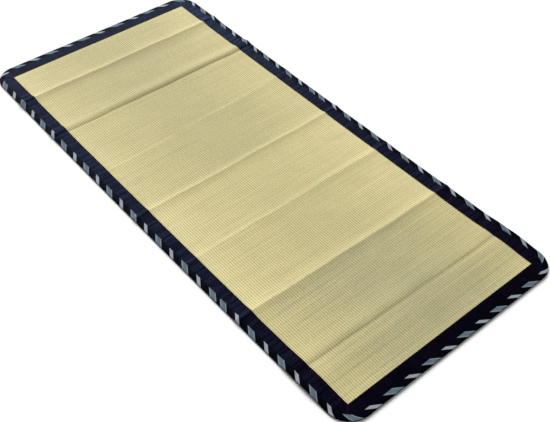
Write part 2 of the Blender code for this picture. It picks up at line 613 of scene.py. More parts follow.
class Effect:
    """A look that more than one finish shares, as a node group built once."""

    name = "effect"
    takes: tuple[Port, ...] = ()
    gives: tuple[Port, ...] = ()

    def draw(self, pen: Pen, given: dict[str, bpy.types.NodeSocket]) -> dict[str, bpy.types.NodeSocket]:
        """Add the effect's nodes and return what each output shows."""
        raise NotImplementedError

    def tree(self) -> bpy.types.NodeTree:
        """Return the effect's node group, made on the first call.

        Returns:
            The group.
        """
        group = bpy.data.node_groups.get(self.name)
        if group is not None:
            return group
        group = bpy.data.node_groups.new(self.name, "ShaderNodeTree")
        for ports, direction in ((self.takes, "INPUT"), (self.gives, "OUTPUT")):
            for port in ports:
                made = group.interface.new_socket(port.name, in_out=direction, socket_type=port.kind)
                if port.value is not None:
                    made.default_value = port.value
        pen = Pen(group)
        given = {socket.name: socket for socket in pen.node("NodeGroupInput").outputs if socket.name}
        shown = self.draw(pen, given)
        out = pen.node("NodeGroupOutput")
        for name, value in shown.items():
            pen.feed(out.inputs[name], value)
        return group


NUMBER = "NodeSocketFloat"
PLACE = "NodeSocketVector"


class OverAndUnder(Effect):
    """Strands that pass over and under cords, each row half a strand along from the last."""

    name = "over_and_under"
    takes = (Port("Place", PLACE), Port("Cord Spacing", NUMBER, 0.008), Port("Strand Width", NUMBER, 0.002))
    gives = (Port("Height", NUMBER), Port("Pinch", NUMBER), Port("Gap", NUMBER))

    def draw(self, pen: Pen, given: dict[str, bpy.types.NodeSocket]) -> dict[str, bpy.types.NodeSocket]:
        """Add the nodes of the weave.

        Args:
            pen: Adds them.
            given: The effect's inputs.

        Returns:
            The height of the strands, how near the cord pinches them, and where they leave a gap.
        """
        place = pen.node("SeparateXYZ")
        pen.feed(place.inputs[0], given["Place"])
        rib = pen.maths("ADD", pen.maths("DIVIDE", place.outputs["X"], given["Cord Spacing"]), 0.5)
        shift = pen.maths("MULTIPLY", pen.maths("PINGPONG", pen.maths("FLOOR", rib), 1.0), 0.5)
        strand = pen.maths("ADD", pen.maths("DIVIDE", place.outputs["Y"], given["Strand Width"]), shift)
        round_strand = pen.maths("ABSOLUTE", pen.maths("SINE", pen.maths("MULTIPLY", strand, pi)))
        over = pen.maths("ABSOLUTE", pen.maths("SINE", pen.maths("MULTIPLY", rib, pi)))
        height = pen.maths("MULTIPLY", pen.maths("POWER", round_strand, 0.6), pen.maths("POWER", over, 0.5))
        pinch = pen.maths("SUBTRACT", 1.0, pen.step(over, 0.0, 0.75))
        gap = pen.maths("SUBTRACT", 1.0, pen.step(round_strand, 0.0, 0.75))
        return {"Height": height, "Pinch": pinch, "Gap": gap}


class Mottle(Effect):
    """Uneven tone, longer one way than the other."""

    name = "mottle"
    takes = (Port("Place", PLACE), Port("Fine", NUMBER, 1.0), Port("Contrast", NUMBER, 1.0))
    gives = (Port("Tone", NUMBER),)

    def draw(self, pen: Pen, given: dict[str, bpy.types.NodeSocket]) -> dict[str, bpy.types.NodeSocket]:
        """Add the nodes of the uneven tone.

        Args:
            pen: Adds them.
            given: The effect's inputs.

        Returns:
            A tone about 0.5.
        """
        raw = pen.noise(given["Place"], given["Fine"], 3.0)
        away = pen.maths("MULTIPLY", pen.maths("SUBTRACT", raw, 0.5), given["Contrast"])
        return {"Tone": pen.maths("ADD", away, 0.5, clamp=True)}


@dataclass(frozen=True)
class Layer:
    """A layer of uneven tone in a finish, with its share in the mix."""

    stretch: tuple[float, float, float] = (1.0, 1.0, 1.0)
    fine: float = 1.0
    contrast: float = 1.0
    share: float = 1.0

    def tone(self, pen: Pen, place: bpy.types.NodeSocket) -> bpy.types.NodeSocket:
        """Place the layer.

        Args:
            pen: Adds its nodes.
            place: Where it is read.

        Returns:
            Its tone, about 0.5.
        """
        spread = pen.stretched(place, self.stretch)
        return pen.group(Mottle().tree(), Place=spread, Fine=self.fine, Contrast=self.contrast).outputs["Tone"]


class FoldWear(Effect):
    """Rubbed and bleached crests along the folds, broken up as wear is."""

    name = "fold_wear"
    takes = (Port("Place", PLACE), Port("Crest", NUMBER, 0.0), Port("Amount", NUMBER, 1.0))
    gives = (Port("Mask", NUMBER),)

    def draw(self, pen: Pen, given: dict[str, bpy.types.NodeSocket]) -> dict[str, bpy.types.NodeSocket]:
        """Add the nodes of the wear.

        Args:
            pen: Adds them.
            given: The effect's inputs.

        Returns:
            How worn the surface is, from 0 to 1.
        """
        patchy = pen.step(pen.noise(given["Place"], 60.0, 3.0), 0.25, 0.6)
        worn = pen.maths("MULTIPLY", given["Crest"], patchy)
        return {"Mask": pen.maths("MULTIPLY", worn, given["Amount"], clamp=True)}


def new_material(name: str) -> tuple[bpy.types.Material, Pen, bpy.types.Node]:
    """Make a material with a Principled shader.

    Args:
        name: The material's name.

    Returns:
        The material, the pen for its nodes and the shader.
    """
    material = bpy.data.materials.new(name)
    material.use_nodes = True
    return material, Pen(material.node_tree), material.node_tree.nodes["Principled BSDF"]


@dataclass(frozen=True)
class RushFinish:
    """Dried rushes: pale straw with greener and pinker strands, a soft sheen, and painted shade in the grooves
    where the cords pinch the strands, between the strands and along the valley creases.
    """

    green: Colour = (0.360, 0.345, 0.200)
    straw: Colour = (0.535, 0.478, 0.240)
    pale: Colour = (0.700, 0.620, 0.325)
    rose: Colour = (0.545, 0.430, 0.245)
    groove: Colour = (0.105, 0.094, 0.031)
    worn: Colour = (0.690, 0.630, 0.370)
    rib_spacing: float = 0.008125
    strand_width: float = 0.0042
    strand_relief: float = 0.00028
    # Shares of painted shade towards the groove colour: where the cords pinch the strands, in the gaps between
    # strands, and along the valley creases, where it is partly the crushed strands' own darkening.
    pinch_shade: float = 0.57
    gap_shade: float = 0.22
    valley_shade: float = 0.28
    wear: float = 0.45
    strands: Layer = Layer((2.2, 340.0, 1.0), 1.0, 2.1, 0.36)
    bundles: Layer = Layer((1.5, 120.0, 1.0), 1.0, 1.8, 0.15)
    patches: Layer = Layer((1.0, 1.0, 1.0), 7.0, 1.3, 0.14)
    flecks: Layer = Layer((1.0, 2.4, 1.0), 120.0, 2.2, 0.35)
    blush: Layer = Layer((1.0, 3.0, 1.0), 11.0, 2.0, 0.4)

    def material(self) -> bpy.types.Material:
        """Make the rush material.

        Returns:
            The material.
        """
        material, pen, shader = new_material("rush")
        place = pen.attribute("weave_place").outputs["Vector"]
        tone = pen.attribute("weave_tone").outputs["Fac"]
        crest = pen.attribute("fold_crest").outputs["Fac"]
        # This mask places painted shade along the valley creases, partly the crushed strands' own darkening.
        dip = pen.attribute("valley_shade_mask").outputs["Fac"]
        weave = pen.group(
            OverAndUnder().tree(), Place=place, Cord_Spacing=self.rib_spacing, Strand_Width=self.strand_width
        )
        strands = self.strands.tone(pen, place)
        mixed = pen.maths("MULTIPLY", strands, self.strands.share)
        for layer in (self.bundles, self.patches, self.flecks):
            mixed = pen.maths("MULTIPLY_ADD", layer.tone(pen, place), layer.share, mixed)
        mixed = pen.maths("ADD", mixed, tone)
        colour = pen.ramp(mixed, ((0.18, self.green), (0.50, self.straw), (0.84, self.pale)))
        blush = pen.step(self.blush.tone(pen, place), 0.5, 1.0)
        colour = pen.blend(pen.maths("MULTIPLY", blush, self.blush.share), colour, self.rose)
        # Painted shade: the colour darkens towards the groove colour where the cords pinch the strands, between
        # the strands, and along the valley creases, partly the crushed strands' own darkening.
        shades = (
            (weave.outputs["Pinch"], self.pinch_shade),
            (weave.outputs["Gap"], self.gap_shade),
            (dip, self.valley_shade),
        )
        for mask, share in shades:
            colour = pen.blend(pen.maths("MULTIPLY", mask, share), colour, self.groove)
        worn = pen.group(FoldWear().tree(), Place=place, Crest=crest, Amount=self.wear)
        colour = pen.blend(worn.outputs["Mask"], colour, self.worn)
        pen.feed(shader.inputs["Base Color"], colour)
        rough = pen.maths("MULTIPLY_ADD", strands, 0.22, 0.46)
        pen.feed(shader.inputs["Roughness"], rough)
        shader.inputs["Specular IOR Level"].default_value = 0.08
        shader.inputs["Sheen Weight"].default_value = 0.04
        shader.inputs["Sheen Roughness"].default_value = 0.5
        shader.inputs["Sheen Tint"].default_value = (1.0, 0.95, 0.75, 1.0)
        bump = pen.node("Bump")
        bump.inputs["Strength"].default_value = 0.8
        bump.inputs["Distance"].default_value = self.strand_relief
        pen.feed(bump.inputs["Height"], weave.outputs["Height"])
        pen.feed(shader.inputs["Normal"], bump.outputs["Normal"])
        return material


@dataclass(frozen=True)
class DashRow:
    """The slanted dashes along the border's rim, wide and narrow by turns.

    Lengths along the rim are shares of the spacing between one dash and the next.
    """

    inner_edge: float = 0.0208
    outer_edge: float = 0.0012
    middle: float = 0.0105
    slant: float = 21.5
    wide_half: float = 0.232
    narrow_half: float = 0.130
    softness: float = 0.012


class DashStripes(Effect):
    """Draws the border's dashes from the count of dashes along the rim and the distance inside it."""

    name = "dash_stripes"
    takes = (Port("Count", NUMBER), Port("Inside", NUMBER))
    gives = (Port("Wide", NUMBER), Port("Narrow", NUMBER), Port("Across", NUMBER))
    row = DashRow()

    def draw(self, pen: Pen, given: dict[str, bpy.types.NodeSocket]) -> dict[str, bpy.types.NodeSocket]:
        """Add the nodes of the dashes.

        Args:
            pen: Adds them.
            given: The effect's inputs.

        Returns:
            Where the wide and the narrow dashes are, and the place across a dash from -1 to 1.
        """
        row = self.row
        lean = pen.maths("MULTIPLY_ADD", given["Inside"], row.slant, -row.middle * row.slant)
        along = pen.maths("ADD", given["Count"], lean)
        nearest = pen.maths("ROUND", along)
        off = pen.maths("SUBTRACT", along, nearest)
        narrow = pen.maths("PINGPONG", nearest, 1.0)
        half = pen.maths("MULTIPLY_ADD", narrow, row.narrow_half - row.wide_half, row.wide_half)
        reach = pen.maths("SUBTRACT", half, pen.maths("ABSOLUTE", off))
        dash = pen.step(reach, -row.softness, row.softness)
        within = pen.step(given["Inside"], row.inner_edge + 0.0004, row.inner_edge - 0.0004)
        beyond = pen.step(given["Inside"], row.outer_edge - 0.0004, row.outer_edge + 0.0004)
        dash = pen.maths("MULTIPLY", pen.maths("MULTIPLY", dash, within), beyond)
        thin = pen.maths("MULTIPLY", dash, narrow)
        return {
            "Wide": pen.maths("SUBTRACT", dash, thin),
            "Narrow": thin,
            "Across": pen.maths("DIVIDE", off, half),
        }


@dataclass(frozen=True)
class BorderFinish:
    """Dark navy cloth with pale and blue-grey dashes along its outer edge, a painted sheen that grows towards
    the far right, and painted shade in the hollows between its puckers.
    """

    night: Colour = (0.0014, 0.0011, 0.0036)
    navy: Colour = (0.0024, 0.0020, 0.0058)
    plum: Colour = (0.0036, 0.0021, 0.0062)
    # Painted sheen: the paler blue that the ground turns towards where the light glances off the cloth, most at
    # the far right.
    painted_sheen: Colour = (0.0105, 0.0195, 0.0415)
    purplish: Colour = (1.00, 0.60, 0.86)
    plain: Colour = (0.88, 0.77, 0.81)
    greenish: Colour = (0.64, 0.88, 0.80)
    band: Colour = (0.0010, 0.0020, 0.0034)
    pale: Colour = (0.315, 0.335, 0.390)
    grey: Colour = (0.125, 0.168, 0.205)
    grey_light: Colour = (0.225, 0.268, 0.305)
    grey_dark: Colour = (0.062, 0.092, 0.120)
    worn: Colour = (0.030, 0.034, 0.060)
    gloss: float = 0.13
    thread_width: float = 0.0007
    thread_relief: float = 0.00003
    band_share: float = 0.6
    wear: float = 0.5
    broad: Layer = Layer(fine=16.0, contrast=2.0)
    slubs: Layer = Layer((260.0, 40.0, 1.0), 1.0, 1.6, 0.35)
    hues: Layer = Layer(fine=42.0, contrast=2.6)
    speckle: Layer = Layer((1.0, 1.3, 1.0), 240.0, 3.0)

    def material(self) -> bpy.types.Material:
        """Make the border's material.

        Returns:
            The material.
        """
        material, pen, shader = new_material("border_cloth")
        run = pen.attribute("border_run").outputs["Vector"]
        part = pen.node("SeparateXYZ")
        pen.feed(part.inputs[0], run)
        place = pen.attribute("cloth_place").outputs["Vector"]
        crest = pen.attribute("fold_crest").outputs["Fac"]
        weave = pen.group(
            OverAndUnder().tree(), Place=place, Cord_Spacing=self.thread_width, Strand_Width=self.thread_width
        )
        slubs = self.slubs.tone(pen, place)
        speckle = self.speckle.tone(pen, place)
        # The painted sheen mask, growing from the near end towards the far right; it turns the ground towards a
        # paler blue and brightens the dashes.
        fade = pen.attribute("cloth_painted_sheen").outputs["Fac"]
        darks = ((0.15, self.plum), (0.45, self.navy), (0.85, self.night))
        ground = pen.blend(fade, pen.ramp(self.broad.tone(pen, place), darks), self.painted_sheen)
        ground = pen.blend(pen.maths("MULTIPLY", slubs, self.slubs.share), ground, self.night)
        casts = ((0.1, self.purplish), (0.5, self.plain), (0.9, self.greenish))
        ground = pen.blend(1.0, ground, pen.ramp(self.hues.tone(pen, place), casts), "MULTIPLY")
        # Painted shade in the hollows between the puckers and painted light on their raised tops, broken up by
        # the speckle.
        painted_pucker_shade = pen.maths("MULTIPLY_ADD", pen.attribute("gather_rise").outputs["Fac"], 0.80, 0.56)
        painted_pucker_shade = pen.maths("MULTIPLY", painted_pucker_shade, pen.maths("MULTIPLY_ADD", speckle, 1.8, 0.35))
        ground = pen.scaled(ground, painted_pucker_shade)
        row = DashStripes.row
        band = pen.step(part.outputs["Y"], row.inner_edge + 0.0022, row.inner_edge - 0.0018)
        ground = pen.blend(pen.maths("MULTIPLY", band, self.band_share), ground, self.band)
        dashes = pen.group(DashStripes().tree(), Count=part.outputs["X"], Inside=part.outputs["Y"])
        lines = pen.maths("MULTIPLY_ADD", dashes.outputs["Across"], 0.5, 0.5)
        wide = pen.ramp(
            lines,
            (
                (0.00, self.grey_light),
                (0.16, self.grey_light),
                (0.26, self.grey),
                (0.66, self.grey),
                (0.74, self.grey_dark),
                (0.82, self.grey_light),
                (1.00, self.grey_light),
            ),
        )
        wide = pen.blend(pen.maths("MULTIPLY", speckle, 0.60), wide, self.grey_dark)
        narrow = pen.blend(pen.maths("MULTIPLY", speckle, 0.34), self.pale, self.grey)
        # Painted sheen also brightens the dashes towards the far right.
        bright = pen.maths("MULTIPLY_ADD", fade, 0.42, 0.83)
        colour = pen.blend(dashes.outputs["Wide"], ground, pen.scaled(wide, bright))
        colour = pen.blend(dashes.outputs["Narrow"], colour, pen.scaled(narrow, bright))
        worn = pen.group(FoldWear().tree(), Place=place, Crest=crest, Amount=self.wear)
        colour = pen.blend(worn.outputs["Mask"], colour, self.worn, "LIGHTEN")
        pen.feed(shader.inputs["Base Color"], colour)
        pen.feed(shader.inputs["Roughness"], pen.maths("MULTIPLY_ADD", slubs, 0.2, 0.42))
        plain = pen.maths("SUBTRACT", 1.0, dashes.outputs["Wide"])
        plain = pen.maths("SUBTRACT", plain, dashes.outputs["Narrow"])
        pen.feed(shader.inputs["Metallic"], pen.maths("MULTIPLY", plain, self.gloss))
        shader.inputs["Specular IOR Level"].default_value = 0.0
        bump = pen.node("Bump")
        bump.inputs["Strength"].default_value = 0.6
        bump.inputs["Distance"].default_value = self.thread_relief
        pen.feed(bump.inputs["Height"], weave.outputs["Height"])
        pen.feed(shader.inputs["Normal"], bump.outputs["Normal"])
        return material


@dataclass(frozen=True)
class ThreadFinish:
    """Navy sewing thread, twisted from thin strands."""

    dark: Colour = (0.006, 0.007, 0.018)
    light: Colour = (0.022, 0.026, 0.055)
    twist: Layer = Layer((1.0, 2.0, 1.0), 900.0, 2.0)

    def material(self) -> bpy.types.Material:
        """Make the thread's material.

        Returns:
            The material.
        """
        material, pen, shader = new_material("seam_thread")
        place = pen.attribute("cloth_place").outputs["Vector"]
        twist = self.twist.tone(pen, place)
        colour = pen.ramp(twist, ((0.2, self.dark), (0.8, self.light)))
        pen.feed(shader.inputs["Base Color"], colour)
        pen.feed(shader.inputs["Roughness"], pen.maths("MULTIPLY_ADD", twist, 0.2, 0.45))
        shader.inputs["Specular IOR Level"].default_value = 0.3
        return material


@dataclass(frozen=True)
class FloorFinish:
    """Plain pale floor with the faintest unevenness of tone."""

    light: Colour = (0.86, 0.86, 0.86)
    dark: Colour = (0.84, 0.84, 0.84)
    cloud: Layer = Layer(fine=1.5)

    def material(self) -> bpy.types.Material:
        """Make the floor's material.

        Returns:
            The material.
        """
        material, pen, shader = new_material("pale_floor")
        place = pen.node("TexCoord").outputs["Object"]
        colour = pen.ramp(self.cloud.tone(pen, place), ((0.3, self.dark), (0.7, self.light)))
        pen.feed(shader.inputs["Base Color"], colour)
        shader.inputs["Roughness"].default_value = 0.9
        shader.inputs["Specular IOR Level"].default_value = 0.0
        return material


class Cloth:
    """Collects the points and faces of one piece and makes its object."""

    def __init__(self, name: str) -> None:
        """Start an empty piece.

        Args:
            name: The name of its mesh and object.
        """
        self.name = name
        self.points: list[Array] = []
        self.faces: list[Array] = []
        self.closings: list[list[int]] = []
        self.count = 0

    def grid(self, points: Array, rows: int) -> Array:
        """Add a grid of points.

        Args:
            points: The points, row by row.
            rows: How many rows they make.

        Returns:
            Their numbers, as a table of rows and columns.
        """
        numbers = np.arange(len(points)).reshape(rows, -1) + self.count
        self.points.append(points)
        self.count += len(points)
        return numbers

    def fill(self, numbers: Array, flipped: bool = False) -> None:
        """Fill a table of points with four-sided faces.

        Args:
            numbers: The points' numbers, as a table.
            flipped: Whether the faces look the other way.
        """
        corners = [numbers[:-1, :-1], numbers[:-1, 1:], numbers[1:, 1:], numbers[1:, :-1]]
        if flipped:
            corners.reverse()
        self.faces.append(np.stack(corners, axis=-1).reshape(-1, 4))

    def finish(self, material: bpy.types.Material, slot: str) -> bpy.types.Object:
        """Make the object, smooth and closed.

        Args:
            material: Its material.
            slot: Not used.

        Returns:
            The object, which rides on the mat's one body.
        """
        mesh = bpy.data.meshes.new(self.name)
        faces = [list(map(int, face)) for table in self.faces for face in table] + self.closings
        mesh.from_pydata(np.concatenate(self.points), [], faces)
        mesh.validate()
        mesh.shade_smooth()
        mesh.materials.append(material)
        piece = bpy.data.objects.new(self.name, mesh)
        bpy.context.scene.collection.objects.link(piece)
        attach(piece, "root")
        return piece


def keep_values(piece: bpy.types.Object, name: str, values: Array) -> None:
    """Store numbers or places on a piece's points for its material to read.

    Args:
        piece: The piece.
        name: The attribute's name.
        values: A number or a place for each point.
    """
    kind, field = ("FLOAT_VECTOR", "vector") if values.ndim == 2 else ("FLOAT", "value")
    made = piece.data.attributes.new(name, kind, "POINT")
    made.data.foreach_set(field, values.astype(np.float32).ravel())


@dataclass(frozen=True)
class SectionTone:
    """The tone of the rush from one fold on, greener below 0 and paler above it."""

    name: str
    starts_at: float
    tone: float


SECTION_TONES = (
    SectionTone("near end", -0.920, -0.18),
    SectionTone("near panel", -0.765, -0.15),
    SectionTone("lower middle", -0.519, 0.07),
    SectionTone("middle", -0.240, 0.12),
    SectionTone("upper middle", 0.018, -0.01),
    SectionTone("upper", 0.275, 0.00),
    SectionTone("far panel", 0.517, -0.02),
    SectionTone("far end", 0.763, 0.03),
)


@dataclass(frozen=True)
class RushPanel:
    """The woven panel: rounded ribs along the mat, following every fold, its edges inside the border."""

    lie: MatLie
    finish: RushFinish
    ribs: int = 96
    columns_per_rib: int = 4
    rib_rise: float = 0.0010
    rib_fade: float = 0.004
    finest_row: float = 0.0020
    widest_row: float = 0.026
    row_growth: float = 0.42
    row_samples: int = 400
    groove_sharpness: float = 1.5
    rib_unevenness: float = 0.16
    rib_seed: int = 11
    spare_ribs: int = 40
    crest_width: float = 0.0022
    valley_shade_width: float = 0.0042
    edge_tone: float = 0.27
    # Painted light in a band along the seam with the border, and how far it reaches.
    seam_painted_light: float = 0.12
    seam_light_reach: float = 0.0060

    def row_places(self) -> list[tuple[int, float]]:
        """Place the rows of points, close together at the folds and far apart on the flat.

        Returns:
            For each row, the fold line before it and its share of the way to the next.
        """
        lie = self.lie
        middle = np.array([(line.y_left + line.y_right) / 2 for line in lie.lines])
        sharp = [y for y, line in zip(middle, lie.lines) if line.crown is not Crown.LEVEL]
        sharp += [(mark.y_from + mark.y_to) / 2 for mark in lie.marks]
        places = []
        for index, (near, far) in enumerate(zip(middle, middle[1:])):
            fine = np.linspace(near, far, self.row_samples)
            away = np.abs(fine[:, None] - np.array(sharp)).min(axis=1)
            step = np.minimum(self.finest_row + self.row_growth * away, self.widest_row)
            passed = np.concatenate([[0.0], np.cumsum(np.diff(fine) / step[1:])])
            rows = max(1, round(passed[-1]))
            even = np.arange(rows) / rows * passed[-1]
            shares = np.interp(even, passed, np.linspace(0, 1, self.row_samples))
            places += [(index, float(share)) for share in shares]
        return places

    def table(self, columns: Array) -> tuple[Array, Array]:
        """Return where a grid over the whole panel lies.

        Args:
            columns: The x of each column where the panel is widest.

        Returns:
            The x and the y of each point.
        """
        lie = self.lie
        inset = lie.rim_radius
        x = np.clip(columns, -lie.width / 2 + inset, lie.width / 2 - inset)
        rows = []
        for index, share in self.row_places():
            near, far = lie.lines[index], lie.lines[index + 1]
            rows.append(lie.line_y(near, x) * (1 - share) + lie.line_y(far, x) * share)
        y = np.array([row for row in rows if abs(row.mean()) < lie.field_y - 0.002])
        ends = lie.field_y + np.array([0.0, 0.012, 0.027, 0.040, 0.050, lie.border_width - inset])
        ends = [np.full_like(x, end) for end in ends]
        y = np.array([*(-row for row in ends[::-1]), *y, *ends])
        x = np.broadcast_to(x, y.shape)
        reach = lie.edge_x(y, inset)
        past = lie.edge_x(np.full_like(y, lie.field_y), inset)
        seam = lie.edge_x(np.array(lie.field_y), inset)
        beside = self.flared(x, reach, inset)
        beyond = self.flared(x, past, inset) * reach / seam
        return np.where(np.abs(y) > lie.field_y + 1e-6, beyond, beside), y

    def flared(self, x: Array, reach: Array, inset: float) -> Array:
        """Fit the part of each row that lies inside the border to the mat's rounded outline.

        Args:
            x: The x of each point where the panel is widest.
            reach: How far sideways the panel goes there.
            inset: How far inside the rim its edge runs.

        Returns:
            The x of each point.
        """
        lie = self.lie
        widest = lie.width / 2 - inset - lie.field_x
        flank = lie.field_x + (np.abs(x) - lie.field_x) * (reach - lie.field_x) / widest
        return np.where(np.abs(x) > lie.field_x, np.sign(x) * flank, x)

    def top_columns(self) -> Array:
        """Return the x of the upper face's columns: several to each rib, and a few inside the border."""
        lie = self.lie
        inner = np.linspace(-lie.field_x, lie.field_x, self.ribs * self.columns_per_rib + 1)
        flank = np.array([0.006, 0.030, lie.border_width])
        return np.concatenate([-lie.field_x - flank[::-1], inner, lie.field_x + flank])

    def bottom_columns(self) -> Array:
        """Return the x of the underside's columns, one to every other rib."""
        lie = self.lie
        inner = np.linspace(-lie.field_x, lie.field_x, self.ribs // 2 + 1)
        flank = np.array([0.030, lie.border_width])
        return np.concatenate([-lie.field_x - flank[::-1], inner, lie.field_x + flank])

    def groove(self, columns: Array, y: Array) -> Array:
        """Return how far the upper face dips between its ribs.

        Args:
            columns: The unbent x of each column.
            y: The y of each point, as a table.

        Returns:
            The depth below the ribs' crests at each point.
        """
        lie = self.lie
        phase = (columns + lie.field_x) / (2 * lie.field_x) * self.ribs
        dip = (0.5 - 0.5 * np.cos(2 * pi * phase)) ** self.groove_sharpness
        dip = np.where(np.abs(columns) > lie.field_x, 0.0, dip)
        rib = np.floor(phase + 0.5).astype(int)
        count = self.ribs + self.spare_ribs
        drawn = np.random.default_rng(self.rib_seed).standard_normal(count)
        uneven = 1 + self.rib_unevenness * drawn[rib % count]
        fade = eased(0.0, self.rib_fade, lie.field_y - np.abs(y))
        return self.rib_rise * dip * uneven * fade

    def tone_at(self, x: Array, y: Array) -> Array:
        """Return the tone of the rush section by section, paler towards the left and right edges, with painted
        light in a band along the seam with the border.

        Args:
            x: Places across the mat.
            y: Places along it.

        Returns:
            The tone at each place.
        """
        tone = np.full(y.shape, SECTION_TONES[0].tone)
        before = SECTION_TONES[0].tone
        for section in SECTION_TONES[1:]:
            edge = self.lie.line_y(self.lie.floor_line(section.starts_at), x)
            tone += (section.tone - before) * eased(-0.006, 0.006, y - edge)
            before = section.tone
        seam = np.minimum(self.lie.field_x - np.abs(x), self.lie.field_y - np.abs(y))
        # Painted light: a paler band along the seam with the border, lifting the shade that the hem casts on
        # the rush.
        tone += self.seam_painted_light * eased(self.seam_light_reach, 0.0015, seam)
        return tone + self.edge_tone * ((x / self.lie.field_x) ** 2 - 0.28)

    def build(self) -> bpy.types.Object:
        """Weave the panel.

        Returns:
            The panel.
        """
        lie = self.lie
        cloth = Cloth("woven_rush")
        columns = self.top_columns()
        x, y = self.table(columns)
        height = lie.seat_at(x, y) + lie.rush - self.groove(columns, y) - lie.marked_at(x, y)
        top = cloth.grid(lie.laid(x, y, height), len(y))
        below_x, below_y = self.table(self.bottom_columns())
        bottom = cloth.grid(lie.laid(below_x, below_y, lie.seat_at(below_x, below_y)), len(below_y))
        cloth.fill(top)
        cloth.fill(bottom, flipped=True)
        cloth.fill(np.stack([bottom[:, 0], top[:, 0]], axis=-1))
        cloth.fill(np.stack([top[:, -1], bottom[:, -1]], axis=-1))
        cloth.closings.append([int(n) for n in (*bottom[0], *top[0][::-1])])
        cloth.closings.append([int(n) for n in (*top[-1], *bottom[-1][::-1])])
        panel = cloth.finish(self.finish.material(), "rush")
        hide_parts("rush_panel")
        flat_x = np.concatenate([np.broadcast_to(columns, y.shape).ravel(), below_x.ravel()])
        flat_y = np.concatenate([y.ravel(), below_y.ravel()])
        keep_values(panel, "weave_place", np.stack([flat_x, flat_y, np.zeros_like(flat_x)], axis=-1))
        keep_values(panel, "weave_tone", self.tone_at(flat_x, flat_y))
        crests = lie.nearness(lie.crests, flat_x, flat_y, self.crest_width)
        # Painted shade along the valley creases, partly the crushed strands' own darkening, kept for the
        # material.
        valley_shade_masks = lie.nearness(lie.valleys, flat_x, flat_y, self.valley_shade_width, self.valley_shade_width / 2)
        keep_values(panel, "fold_crest", crests)
        keep_values(panel, "valley_shade_mask", valley_shade_masks)
        return panel


@dataclass(frozen=True)
class Stations:
    """The places along a border at which its section is drawn."""

    inner: Array
    outer: Array
    gather: Array
    mitre: Array

    def joined(self, other: "Stations") -> "Stations":
        """Return these stations with another run's after them."""
        parts = ("inner", "outer", "gather", "mitre")
        return Stations(*(np.concatenate([getattr(self, part), getattr(other, part)]) for part in parts))

    @property
    def width(self) -> Array:
        """The border's width at each station."""
        return np.linalg.norm(self.outer - self.inner, axis=1)

    @property
    def over(self) -> Array:
        """The direction across the border at each station, from its inner edge to its outer one."""
        return (self.outer - self.inner) / self.width[:, None]

    @property
    def along(self) -> Array:
        """The distance of each station along the rim."""
        steps = np.linalg.norm(np.diff(self.outer, axis=0), axis=1)
        return np.concatenate([[0.0], np.cumsum(steps)])


